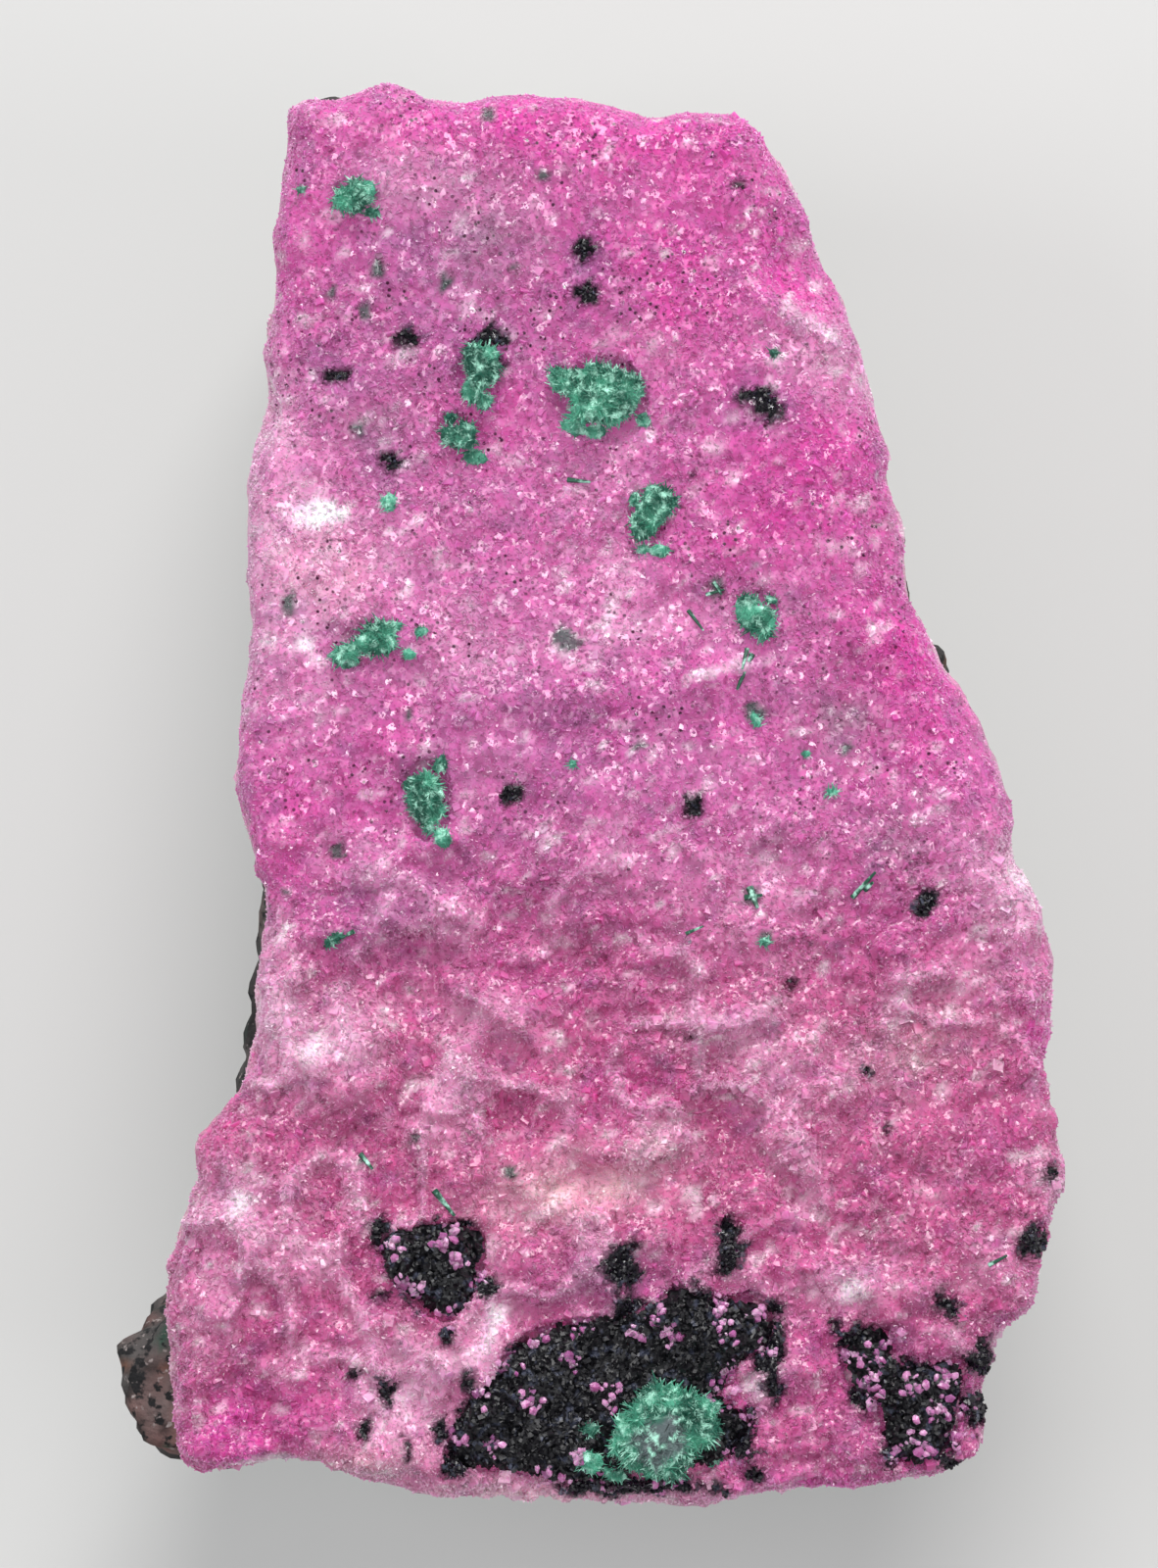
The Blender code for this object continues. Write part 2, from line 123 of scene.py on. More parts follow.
def rise(value, low, high):
    part = np.clip((value - low) / (high - low), 0, 1)
    return part * part * (3 - 2 * part)


def plain(thing, name):
    """The object's evaluated mesh as a plain object that has no modifiers."""
    graph = bpy.context.evaluated_depsgraph_get()
    mesh = bpy.data.meshes.new_from_object(thing.evaluated_get(graph), depsgraph=graph)
    made = bpy.data.objects.new(name, mesh)
    bpy.context.scene.collection.objects.link(made)
    return made


def fine_copy(node, name, voxel):
    """An evenly fine copy of a CAD solid, for relief too small for the solid itself."""
    work = bmesh.new()
    work.from_mesh(frame["nodes"][node].data)
    bmesh.ops.remove_doubles(work, verts=work.verts, dist=0.001 * MM)
    mesh = bpy.data.meshes.new(name)
    work.to_mesh(mesh)
    work.free()
    rough = bpy.data.objects.new(name + "_rough", mesh)
    bpy.context.scene.collection.objects.link(rough)
    step = rough.modifiers.new("even", "REMESH")
    step.mode = "VOXEL"
    step.voxel_size = voxel
    made = plain(rough, name)
    bpy.data.objects.remove(rough)
    made.data.shade_smooth()
    return made


def places_of(thing):
    flat = np.empty(len(thing.data.vertices) * 3, np.float32)
    thing.data.vertices.foreach_get("co", flat)
    return flat.reshape(-1, 3).astype(float) / MM


def normals_of(thing):
    flat = np.empty(len(thing.data.vertices) * 3, np.float32)
    thing.data.vertex_normals.foreach_get("vector", flat)
    return flat.reshape(-1, 3).astype(float)


def put(thing, places):
    """Moves the vertices there, though never past the CAD model's box."""
    inside = np.clip(places, np.array(cad_low) / MM, np.array(cad_high) / MM)
    thing.data.vertices.foreach_set("co", (inside * MM).astype(np.float32).ravel())
    thing.data.update()


def kept_inside(thing):
    """Brings the few tips that pass the CAD model's box back to it."""
    put(thing, places_of(thing))


def tinted(thing, colours, specks=None):
    """Stores a colour at each vertex, and how thickly dark specks lie there."""
    layer = thing.data.color_attributes.new("tint", "FLOAT_COLOR", "POINT")
    rest = np.ones(len(colours)) if specks is None else specks
    layer.data.foreach_set("color", np.column_stack([colours, rest]).astype(np.float32).ravel())


def blended(low, high, share):
    return low + (high - low) * np.asarray(share)[:, None]


class Finish:
    """A procedural material that starts from the colours stored in the mesh."""

    def __init__(self, name, roughness, specular=0.5):
        self.material = bpy.data.materials.new(name)
        self.material.use_nodes = True
        self.tree = self.material.node_tree
        self.shader = self.tree.nodes["Principled BSDF"]
        self.shader.inputs["Roughness"].default_value = roughness
        self.shader.inputs["Specular IOR Level"].default_value = specular
        self.tint = self.add("ShaderNodeAttribute", attribute_name="tint")
        self.spot = self.add("ShaderNodeTexCoord").outputs["Object"]

    def add(self, kind, links=(), values=(), **settings):
        node = self.tree.nodes.new(kind)
        for key, value in settings.items():
            setattr(node, key, value)
        for key, value in dict(values).items():
            node.inputs[key].default_value = value
        for key, source in dict(links).items():
            self.tree.links.new(source, node.inputs[key])
        return node

    def noise(self, scale, detail=3):
        return self.add("ShaderNodeTexNoise", {"Vector": self.spot},
                        {"Scale": scale, "Detail": detail}).outputs["Fac"]

    def cells(self, scale, output):
        return self.add("ShaderNodeTexVoronoi", {"Vector": self.spot},
                        {"Scale": scale}).outputs[output]

    def ranged(self, source, low, high, to_low=0.0, to_high=1.0):
        return self.add("ShaderNodeMapRange", {"Value": source},
                        {"From Min": low, "From Max": high, "To Min": to_low, "To Max": to_high}
                        ).outputs["Result"]

    def times(self, one, other):
        return self.add("ShaderNodeMath", {0: one, 1: other}, operation="MULTIPLY").outputs[0]

    def mixed(self, share, base, colour, blend="MIX"):
        node = self.add("ShaderNodeMix", {0: share, 6: base}, {7: (*colour, 1.0)},
                        data_type="RGBA", blend_type=blend)
        return node.outputs[2]

    def faceted(self, scale, tilt):
        """Turns the surface a little, cell by cell, as the faces of fine crystals do."""
        way = self.add("ShaderNodeVectorMath", {0: self.cells(scale, "Color")},
                       {1: (0.5, 0.5, 0.5)}, operation="SUBTRACT").outputs[0]
        way = self.add("ShaderNodeVectorMath", {0: way}, {"Scale": tilt},
                       operation="SCALE").outputs[0]
        normal = self.add("ShaderNodeNewGeometry").outputs["Normal"]
        total = self.add("ShaderNodeVectorMath", {0: normal, 1: way}, operation="ADD").outputs[0]
        total = self.add("ShaderNodeVectorMath", {0: total}, operation="NORMALIZE").outputs[0]
        self.tree.links.new(total, self.shader.inputs["Normal"])

    def bumped(self, height, distance, strength=1.0):
        node = self.add("ShaderNodeBump", {"Height": height},
                        {"Strength": strength, "Distance": distance})
        self.tree.links.new(node.outputs["Normal"], self.shader.inputs["Normal"])

    def coloured(self, colour):
        self.tree.links.new(colour, self.shader.inputs["Base Color"])
        return self.material


def dressed(thing, material, slot, *nodes):
    thing.data.materials.clear()
    thing.data.materials.append(material)
    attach(thing, "root")
    if nodes:
        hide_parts(*nodes)


CHARCOAL, ASH, BROWN = rgb(52, 50, 50), rgb(126, 120, 118), rgb(158, 104, 98)
RUST, MOSS = rgb(132, 74, 42), rgb(24, 74, 56)

rock = fine_copy("matrix_rock", "broken_matrix_rock", ROCK_VOXEL)
spots, facing = places_of(rock), normals_of(rock)
free = rise(spots[:, 2], 0.1, 0.9) * rise(-np.abs(facing[:, 2]), -0.95, -0.6)
relief = 0.9 * (crests(spots, 1.5, 11) - 0.4) + 0.5 * drift(spots, 0.9, 12)
relief += 0.8 * drift(spots * (1, 1, 2.2), 2.8, 13)
put(rock, spots + facing * (ROCK_CHIP * relief * free)[:, None])
spots = places_of(rock)
ashen = rise(drift(spots, 2.2, 14) + 0.8 * drift(spots, 0.7, 15), -0.2, 1.0)
lobe = np.exp(-(((spots[:, 0] + 17) / 2.8) ** 2 + ((spots[:, 1] + 23.6) / 3.4) ** 2))
stone = blended(CHARCOAL, ASH, np.clip(0.50 * ashen + 0.25 * lobe, 0, 1))
stone = blended(stone, BROWN, rise(drift(spots, 1.5, 16), 0.0, 0.8) * (0.15 + 0.75 * lobe))
stone = blended(stone, MOSS, rise(drift(spots, 0.7, 17), 0.45, 0.75) * (0.35 + 0.5 * lobe))
stone = blended(stone, RUST, rise(drift(spots, 1.0, 18), 0.55, 0.9) * 0.6)
stone *= (1 - 0.75 * rise(drift(spots, 0.55, 19), 0.15, 0.55))[:, None]
tinted(rock, stone)

finish = Finish("broken rock", 0.82, 0.35)
look = finish.mixed(finish.ranged(finish.noise(2100, 5), 0.53, 0.60), finish.tint.outputs["Color"],
                    rgb(20, 20, 22))
look = finish.mixed(finish.ranged(finish.noise(2700, 2), 0.36, 0.28), look, rgb(146, 136, 134))
finish.bumped(finish.noise(1300, 8), 0.35 * MM)
dressed(rock, finish.coloured(look), "rock", "matrix_rock")


# The calcite crust: one pink, cobalt-bearing sheet that grew over the rock. Its broken side
# wall is waxy and pale, and it sits tight on the rock, so its foot closes the seam.
BED_VOXEL = 0.27 * MM
FACE_LEVEL = 17.0            # millimetres from the resting plane to most of the face
SEAM = 0.34                  # millimetres that the crust's foot reaches down to the rock

PINK, ROSE = rgb(196, 106, 164), rgb(184, 90, 138)
HOT, PALE, SNOW = rgb(206, 70, 158), rgb(232, 180, 211), rgb(250, 238, 247)
MAUVE, GREY_GREEN, CREAM = rgb(152, 92, 144), rgb(132, 116, 130), rgb(238, 192, 204)
SOOT, VERDIGRIS, BLOOD = rgb(16, 14, 22), rgb(34, 90, 74), rgb(104, 30, 48)

# Patches of colour on the face: colour, then middle, half widths, turn and strength
FACE_COLOURS = [
    (HOT, -4.0, 26.2, 7.0, 1.5, 0, 0.65), (HOT, 3.0, 25.8, 4.5, 1.4, -8, 0.60),
    (HOT, 3.5, 21.0, 5.5, 4.5, 0, 0.60), (HOT, 8.2, 19.6, 1.8, 0.8, -35, 0.90),
    (HOT, 9.0, 14.0, 3.4, 3.6, 0, 0.50), (HOT, 6.5, 11.5, 3.4, 2.2, 20, 0.75),
    (HOT, 12.6, 5.2, 2.4, 4.2, 20, 0.80), (HOT, -10.6, 22.5, 2.0, 3.6, 0, 0.40),
    (HOT, -11.8, -1.6, 1.4, 2.2, 0, 0.75), (HOT, 17.8, -8.9, 0.9, 1.6, 10, 0.70),
    (HOT, -13.2, -24.7, 2.6, 1.6, 10, 0.80), (HOT, 0.5, -15.3, 0.9, 0.6, 0, 0.95),
    (HOT, 8.6, -27.0, 2.6, 0.8, 0, 0.75), (HOT, -9.4, -23.0, 1.6, 2.0, 30, 0.35),
    (MAUVE, -6.0, 21.5, 3.2, 2.4, 0, 0.45), (MAUVE, 0.0, 20.5, 1.3, 2.0, 0, 0.60),
    (MAUVE, -4.0, 17.6, 2.0, 1.3, 0, 0.60), (MAUVE, 6.9, 15.3, 1.6, 1.4, 0, 0.60),
    (MAUVE, -9.8, 16.6, 1.8, 1.1, 0, 0.60), (MAUVE, -7.6, 13.1, 1.0, 1.0, 0, 0.60),
    (MAUVE, -8.4, -4.4, 3.0, 2.2, 0, 0.40), (MAUVE, 1.0, -19.0, 3.6, 1.4, 0, 0.50),
    (MAUVE, -1.0, 3.0, 7.0, 3.0, 5, 0.25), (MAUVE, 13.0, -24.0, 3.2, 3.0, 0, 0.35),
    (GREY_GREEN, 9.8, 3.0, 1.7, 1.4, 0, 0.60), (GREY_GREEN, 12.0, -2.0, 1.6, 1.6, 0, 0.35),
    (GREY_GREEN, -3.6, 22.0, 1.8, 1.8, 0, 0.35), (GREY_GREEN, -8.2, 14.6, 1.4, 0.9, 0, 0.35),
    (PALE, -11.6, 9.0, 1.8, 4.5, 0, 0.55), (PALE, -12.2, 14.2, 1.0, 2.6, 0, 0.60),
    (PALE, -7.0, 24.0, 2.4, 1.3, 0, 0.45), (PALE, 9.3, 17.2, 2.2, 1.4, -35, 0.55),
    (PALE, 16.6, -3.4, 1.6, 2.2, 25, 0.60), (PALE, -10.4, -9.9, 1.9, 1.8, 0, 0.70),
    (PALE, -13.6, -15.6, 2.0, 1.4, 0, 0.65), (PALE, -12.2, -8.0, 0.9, 3.4, 0, 0.55),
    (PALE, -4.0, -21.0, 1.0, 2.0, -15, 0.65), (PALE, -7.2, -23.4, 1.9, 1.9, 0, 0.60),
    (PALE, 10.2, -19.0, 1.6, 1.0, 0, 0.65), (PALE, -5.2, -11.6, 0.7, 1.9, 0, 0.65),
    (PALE, 7.6, -10.0, 5.0, 1.2, -15, 0.35), (PALE, 1.4, 6.4, 5.6, 0.7, 12, 0.30),
    (PALE, -3.4, -8.6, 2.0, 1.0, -20, 0.50), (PALE, 1.4, 8.6, 1.2, 1.2, 0, 0.35),
    (PALE, 0.0, -27.6, 8.0, 0.8, 0, 0.70), (PALE, -14.9, -19.0, 1.2, 3.0, 0, 0.35),
    (CREAM, -0.4, -15.2, 3.2, 1.3, 8, 0.85), (CREAM, -2.0, -27.6, 4.0, 0.7, 0, 0.60),
    (CREAM, -10.2, 9.2, 1.6, 1.4, 0, 0.45), (CREAM, 13.0, -9.6, 2.2, 1.4, 20, 0.30),
    (CREAM, 2.9, -13.4, 0.9, 0.7, 40, 0.70), (CREAM, -9.0, -25.9, 2.2, 0.6, 0, 0.40),
    (BLOOD, 2.6, -13.2, 0.15, 0.75, -28, 0.85), (BLOOD, 3.2, -14.0, 0.55, 0.12, 18, 0.80),
    (BLOOD, 7.8, -7.4, 0.45, 0.30, 0, 0.45), (BLOOD, 0.1, -6.0, 0.50, 0.30, 0, 0.35),
    (BLOOD, 10.8, -17.4, 0.60, 0.25, 30, 0.35), (BLOOD, -1.6, -14.3, 0.70, 0.12, 12, 0.40),
    (SNOW, -10.3, 11.2, 1.5, 0.6, 0, 0.95), (SNOW, -12.4, 6.1, 0.6, 0.5, 0, 0.75),
    (SNOW, -10.9, 5.9, 0.5, 0.5, 0, 0.75), (SNOW, 8.6, 18.6, 1.5, 0.5, -30, 0.50),
    (SNOW, 16.9, -2.7, 0.7, 1.3, 30, 0.55), (SNOW, -13.4, -15.9, 0.8, 0.5, 0, 0.70),
    (SNOW, -10.6, -9.6, 0.8, 0.9, 0, 0.45), (SNOW, -3.6, -20.6, 0.4, 1.4, -15, 0.60),
    (SNOW, -12.4, -26.0, 1.3, 0.5, 0, 0.75), (SNOW, 6.6, -22.8, 0.6, 0.8, 0, 0.55),
    (SNOW, 5.5, 5.0, 2.4, 0.3, 14, 0.40), (SNOW, 10.4, -19.2, 0.9, 0.5, 0, 0.55),
]

# Sooty black growths: middle, half widths, turn
SOOT_SPOTS = [
    (0.0, 21.3, 0.60, 0.55, 0), (0.0, 19.6, 0.60, 0.55, 0), (-3.8, 17.9, 0.75, 0.55, 0),
    (-3.3, 17.0, 0.50, 0.22, -35), (6.9, 15.3, 0.95, 0.85, 0), (-7.65, 13.1, 0.55, 0.45, 0),
    (-9.7, 16.5, 0.85, 0.40, -8), (-7.0, 17.9, 0.45, 0.50, 0), (-2.8, 0.15, 0.50, 0.60, 0),
    (4.2, -0.4, 0.42, 0.45, 0), (13.3, -4.05, 0.70, 0.70, 0), (5.6, -17.6, 0.70, 1.25, 0),
    (17.4, -17.4, 0.70, 0.80, 0), (14.2, -19.9, 0.75, 0.70, 0), (1.4, -18.2, 0.85, 1.10, 0),
    (18.2, -14.7, 0.30, 0.45, 0), (6.0, 23.9, 0.28, 0.20, 0), (-8.0, -17.3, 0.50, 0.60, 30),
    (-3.8, -19.0, 0.60, 0.55, 0), (4.1, -9.3, 0.30, 0.25, 0), (8.1, -7.2, 0.25, 0.25, 0),
    (11.7, -13.0, 0.22, 0.22, 0), (10.9, -10.6, 0.22, 0.22, 0), (10.5, -21.2, 0.90, 0.90, 20),
    (12.9, -23.0, 1.30, 1.20, 0), (13.6, -25.3, 1.10, 0.90, 0), (10.8, -23.4, 0.60, 0.60, 0),
    (15.4, -21.9, 0.70, 0.90, 0), (15.3, -24.0, 0.50, 0.90, 0), (4.2, -19.9, 1.20, 0.90, 10),
    (7.0, -21.4, 0.80, 1.20, 0), (-0.6, -21.1, 1.20, 0.50, 25), (-3.6, -24.0, 1.40, 1.30, 40),
    (-5.0, -25.8, 0.70, 0.80, 0), (-6.0, -18.4, 1.90, 1.60, -20), (6.2, -24.9, 0.70, 1.20, 0),
    (-7.8, -23.0, 0.30, 0.90, 20), (-8.6, -24.6, 0.25, 0.60, -30), (4.2, 12.5, 0.14, 0.14, 0),
    (2.0, -26.9, 3.6, 0.55, 0), (11.9, -25.6, 0.55, 0.60, 0), (-4.6, -22.9, 0.55, 0.70, 30),
    (-2.6, -21.6, 0.60, 0.45, 20), (1.6, -19.8, 0.70, 0.50, 0), (7.4, -19.9, 0.45, 0.45, 0),
    (7.3, -22.9, 0.40, 0.70, 0), (6.6, -26.4, 0.60, 0.45, 0), (-5.6, -24.6, 0.40, 0.50, 0),
    (-8.0, -16.6, 0.45, 0.40, 0), (-4.9, -16.6, 0.50, 0.35, 0), (-7.8, -19.4, 0.40, 0.45, 0),
    (-5.4, -21.0, 0.35, 0.45, 0), (-9.0, -22.4, 0.20, 0.60, -50), (-6.9, -25.4, 0.22, 0.80, 20),
    (16.2, -22.8, 0.35, 0.60, 0), (9.8, -20.4, 0.40, 0.35, 0), (14.6, -26.2, 0.60, 0.35, 0),
]
# Small dark green blebs in the druse: middle and radius
GREEN_BLEBS = [
    (6.5, -3.9, 0.45), (-0.7, 6.15, 0.40), (5.1, 8.1, 0.30), (-11.7, 7.5, 0.35),
    (-9.6, -2.2, 0.28), (-11.7, -3.7, 0.25), (7.0, -5.5, 0.25), (2.2, 2.1, 0.24),
    (6.6, 3.4, 0.36), (10.2, 1.9, 0.28), (-8.2, 20.65, 0.32), (-9.8, 19.7, 0.28),
    (-8.6, 18.85, 0.30), (-5.4, 20.2, 0.30), (-2.8, 20.7, 0.24), (-8.9, 14.4, 0.28),
    (-8.8, -14.2, 0.30), (-6.6, -13.3, 0.32), (-3.0, -14.7, 0.28), (-6.9, 3.2, 0.26),
    (-1.6, 24.2, 0.26), (7.35, 17.25, 0.22), (-3.8, 26.6, 0.22), (4.1, -9.3, 0.26),
]


def patch_share(places, x, y, wide, tall, turn, ragged=0.0, seed=0):
    """How much of an oval patch covers each place: 1 in its middle, 0 well outside."""
    angle = math.radians(turn)
    dx, dy = places[:, 0] - x, places[:, 1] - y
    along = (dx * math.cos(angle) + dy * math.sin(angle)) / wide
    across = (dy * math.cos(angle) - dx * math.sin(angle)) / tall
    away = along ** 2 + across ** 2
    return np.exp(-away * np.maximum(0.3, 1 + ragged * drift(places, 0.5, seed)))


def speck_share(places):
    """Dark specks lie thickly on the upper part of the face and thinly below."""
    return 0.25 + 0.75 * rise(places[:, 1], -12.0, 4.0)


def ridge_share(places):
    """The low pale ridges and lumps that wander over the lower half of the face."""
    flat = places * (1, 1, 0)
    line = 1 - 2.4 * np.abs(drift(flat, 2.6, 47) + 0.3 * drift(flat, 0.9, 48))
    patchy = rise(drift(flat, 3.4, 49), -0.45, 0.35)
    return rise(line, 0.35, 1.0) * rise(-places[:, 1], -3.0, 7.0) * patchy


def soot_share(places):
    share = np.zeros(len(places))
    for x, y, wide, tall, turn in SOOT_SPOTS:
        share = np.maximum(share, patch_share(places, x, y, wide, tall, turn))
    ragged = 0.34 * drift(places, 0.42, 31) + 0.20 * drift(places, 0.2, 32)
    return rise(share + ragged, 0.40, 0.52)


def face_colour(places, random):
    """The crust's colour: mottled pinks, then the patches, blebs and sooty growths."""
    broad = drift(places, 5.0, 21) + 0.6 * drift(places, 2.1, 22)
    lower = rise(-places[:, 1], -1.0, 10.0)
    colour = blended(PINK, ROSE, lower)
    colour = blended(colour, HOT, rise(broad, 0.15, 1.1) * (0.45 - 0.25 * lower))
    colour = blended(colour, PALE, rise(-broad, 0.1, 1.2) * 0.28)
    ragged = 1 + 0.6 * drift(places, 1.1, 23)
    fine = 0.40 * drift(places, 0.45, 26) + 0.20 * drift(places, 0.22, 27)
    for paint, x, y, wide, tall, turn, strength in FACE_COLOURS:
        share = patch_share(places, x, y, wide, tall, turn)
        if paint is SNOW:
            share = rise(share + fine, 0.35, 0.85)
        share = share * strength * ragged
        colour = blended(colour, paint, np.clip(share, 0, 1))
    # Pale frost streaks in near white: partly the calcite's own frosting, partly painted
    # highlights. Mauve fills the gaps between them.
    frost_and_highlight = drift(places * (1, 1.7, 1), 0.8, 24) + 0.7 * drift(places, 0.35, 25)
    colour = blended(colour, SNOW, 0.42 * rise(frost_and_highlight, 0.45, 1.1))
    colour = blended(colour, MAUVE, 0.40 * rise(-frost_and_highlight, 0.35, 1.0))
    colour = blended(colour, PALE, 0.45 * ridge_share(places))
    wall = rise(FACE_LEVEL - places[:, 2], 1.2, 3.4)
    colour = blended(colour, blended(PALE, CREAM, rise(broad, -0.6, 0.8)), 0.55 * wall)
    colour *= (1 + 0.15 * (random - 0.5))[:, None]
    for x, y, radius in GREEN_BLEBS:
        share = patch_share(places, x, y, radius, radius, 0, 1.2, 33)
        colour = blended(colour, VERDIGRIS, 0.85 * rise(share, 0.35, 0.6))
    top = rise(places[:, 2], FACE_LEVEL - 3.0, FACE_LEVEL - 2.0)
    return blended(colour, SOOT, soot_share(places) * top)


bed = fine_copy("calcite_crust", "pink_calcite_crust", BED_VOXEL)
spots, facing = places_of(bed), normals_of(bed)
lower = rise(-spots[:, 1], -3.0, 7.0)
upward = rise(facing[:, 2], -0.2, 0.4)
relief = (0.10 + 0.42 * lower) * (crests(spots, 1.25, 41) - 0.35)
relief += (0.08 + 0.34 * lower) * (crests(spots, 2.9, 46) - 0.30)
relief += 0.44 * (ridge_share(spots) - 0.15 * lower)
relief += (0.10 + 0.10 * lower) * (crests(spots, 0.65, 42) - 0.35)
relief += (0.10 + 0.16 * lower) * drift(spots, 2.2, 43)
wall = 0.55 * (crests(spots * (1, 1, 0.6), 1.7, 44) - 0.4) + 0.25 * drift(spots, 0.9, 45)
spots = spots + facing * (relief * upward + 0.45 * wall * (1 - upward))[:, None]
spots[:, 2] -= SEAM * rise(-facing[:, 2], 0.2, 0.8) * rise(-spots[:, 2], -15.0, -14.2)
put(bed, spots)
spots, facing = places_of(bed), normals_of(bed)
grain_luck = np.random.default_rng(5).random(len(spots))
tinted(bed, face_colour(spots, grain_luck), speck_share(spots))

calcite = Finish("drusy pink calcite", 0.24)
look = calcite.tint.outputs["Color"]
mottle = calcite.ranged(calcite.noise(1400), 0.35, 0.65, 0.0, 0.35)
look = calcite.mixed(mottle, look, rgb(232, 128, 186), "SOFT_LIGHT")
dots = calcite.ranged(calcite.cells(3000, "Distance"), 0.27, 0.17)
thick = calcite.ranged(calcite.noise(420, 2), 0.42, 0.62)
thick = calcite.times(thick, calcite.tint.outputs["Alpha"])
look = calcite.mixed(calcite.times(dots, thick), look, rgb(70, 24, 54))
calcite.faceted(4200, 0.75)
calcite.shader.inputs["Subsurface Weight"].default_value = 0.80
calcite.shader.inputs["Subsurface Radius"].default_value = (1.0, 0.48, 0.80)
calcite.shader.inputs["Subsurface Scale"].default_value = 0.65 * MM
calcite.coloured(look)
dressed(bed, calcite.material, "calcite", "calcite_crust")


# The druse: rhombs of calcite a fraction of a millimetre across, grown all over the face.
# They are fine above and coarser below, each one rooted in the crust.
UPPER_DRUSE, MIDDLE_DRUSE, LOWER_DRUSE = (6.0, 30.0), (-11.0, 6.0), (-30.0, -11.0)


def scatter_tree(name, mask, shape, tilt):
    """Geometry Nodes that set one small form all over a surface, where the mask allows."""
    tree = bpy.data.node_groups.new(name, "GeometryNodeTree")
    face = tree.interface
    face.new_socket("Geometry", in_out="INPUT", socket_type="NodeSocketGeometry")
    for label in ("Per square metre", "Smallest", "Largest", "From y", "To y"):
        face.new_socket(label, in_out="INPUT", socket_type="NodeSocketFloat")
    face.new_socket("Seed", in_out="INPUT", socket_type="NodeSocketInt")
    face.new_socket("Finish", in_out="INPUT", socket_type="NodeSocketMaterial")
    face.new_socket("Geometry", in_out="OUTPUT", socket_type="NodeSocketGeometry")

    def add(kind, links=(), values=(), **settings):
        node = tree.nodes.new(kind)
        for key, value in settings.items():
            setattr(node, key, value)
        for key, value in dict(values).items():
            node.inputs[key].default_value = value
        for key, source in dict(links).items():
            tree.links.new(source, node.inputs[key])
        return node

    def maths(operation, one, other):
        return add("ShaderNodeMath", {0: one, 1: other}, operation=operation).outputs[0]

    given = add("NodeGroupInput").outputs
    mask_here = add("GeometryNodeInputNamedAttribute", values={"Name": mask},
                    data_type="FLOAT").outputs[0]
    size_here = add("GeometryNodeInputNamedAttribute", values={"Name": "grain"},
                    data_type="FLOAT").outputs[0]
    y = add("ShaderNodeSeparateXYZ", {0: add("GeometryNodeInputPosition").outputs[0]}).outputs[1]
    inside = maths("MULTIPLY", maths("GREATER_THAN", y, given["From y"]),
                   maths("LESS_THAN", y, given["To y"]))
    density = maths("MULTIPLY", maths("MULTIPLY", inside, mask_here), given["Per square metre"])
    points = add("GeometryNodeDistributePointsOnFaces",
                 {"Mesh": given["Geometry"], "Density": density, "Seed": given["Seed"]})
    turn = add("FunctionNodeRandomValue", {"Seed": given["Seed"]},
               {0: (-tilt, -tilt, -math.pi), 1: (tilt, tilt, math.pi)}, data_type="FLOAT_VECTOR")
    turn = add("FunctionNodeEulerToRotation", {0: turn.outputs[0]})
    turned = add("FunctionNodeRotateRotation", {0: points.outputs["Rotation"], 1: turn.outputs[0]},
                 rotation_space="LOCAL")
    size = add("FunctionNodeRandomValue",
               {2: given["Smallest"], 3: given["Largest"], "Seed": given["Seed"]},
               data_type="FLOAT")
    size = maths("MULTIPLY", size.outputs[1], size_here)
    set_out = add("GeometryNodeInstanceOnPoints",
                  {"Points": points.outputs["Points"], "Instance": shape(add),
                   "Rotation": turned.outputs[0], "Scale": size})
    real = add("GeometryNodeRealizeInstances", {0: set_out.outputs[0]})
    coated = add("GeometryNodeSetMaterial",
                 {"Geometry": real.outputs[0], "Material": given["Finish"]})
    add("NodeGroupOutput", {0: coated.outputs[0]})
    return tree


def scattered(ground, name, tree, finish, seed, amount, smallest, largest, span=(-40, 40)):
    """The tree's small forms on that ground, as one plain mesh; sizes in millimetres."""
    grow = ground.modifiers.new(name, "NODES")
    grow.node_group = tree
    keys = {item.name: item.identifier for item in tree.interface.items_tree
            if item.in_out == "INPUT"}
    for label, value in (("Per square metre", amount / MM ** 2), ("Smallest", smallest * MM),
                         ("Largest", largest * MM), ("From y", span[0] * MM),
                         ("To y", span[1] * MM), ("Seed", seed), ("Finish", finish)):
        grow[keys[label]] = value
    made = plain(ground, name)
    ground.modifiers.remove(grow)
    return made


TIP_CORNERS, BOX_CORNERS = 4, 8   # vertices of one small form


def crystal_tip(add):
    """The three-faced end of a calcite crystal, rooted below the surface."""
    tip = add("GeometryNodeMeshCone", values={
        "Vertices": 3, "Radius Top": 0.0, "Radius Bottom": 1.0, "Depth": 1.25})
    return add("GeometryNodeTransform", {0: tip.outputs[0]},
               {"Translation": (0, 0, -0.62)}).outputs[0]


def rhomb(add):
    """A calcite rhomb: a cube stood on its corner and pressed down a little."""
    cube = add("GeometryNodeMeshCube", values={"Size": (1, 1, 1)})
    tip = add("GeometryNodeTransform", {0: cube.outputs[0]},
              {"Rotation": (math.radians(45), math.asin(math.sqrt(1 / 3)), 0)})
    return add("GeometryNodeTransform", {0: tip.outputs[0]},
               {"Scale": (0.9, 0.9, 0.85), "Translation": (0, 0, -0.38)}).outputs[0]


def floats(thing, name, values):
    layer = thing.data.attributes.new(name, "FLOAT", "POINT")
    layer.data.foreach_set("value", values.astype(np.float32))


def covered(thing, nodes):
    """Marks the vertices that lie under one of those nodes, seen from above."""
    hidden = np.zeros(len(thing.data.vertices), bool)
    for node in nodes:
        low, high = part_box(node)
        solid = frame["nodes"][node]
        for i, vertex in enumerate(thing.data.vertices):
            x, y, z = vertex.co
            if low[0] < x < high[0] and low[1] < y < high[1] and z < high[2]:
                hidden[i] |= solid.ray_cast(Vector((x, y, high[2] + MM)), Vector((0, 0, -1)))[0]
    return hidden


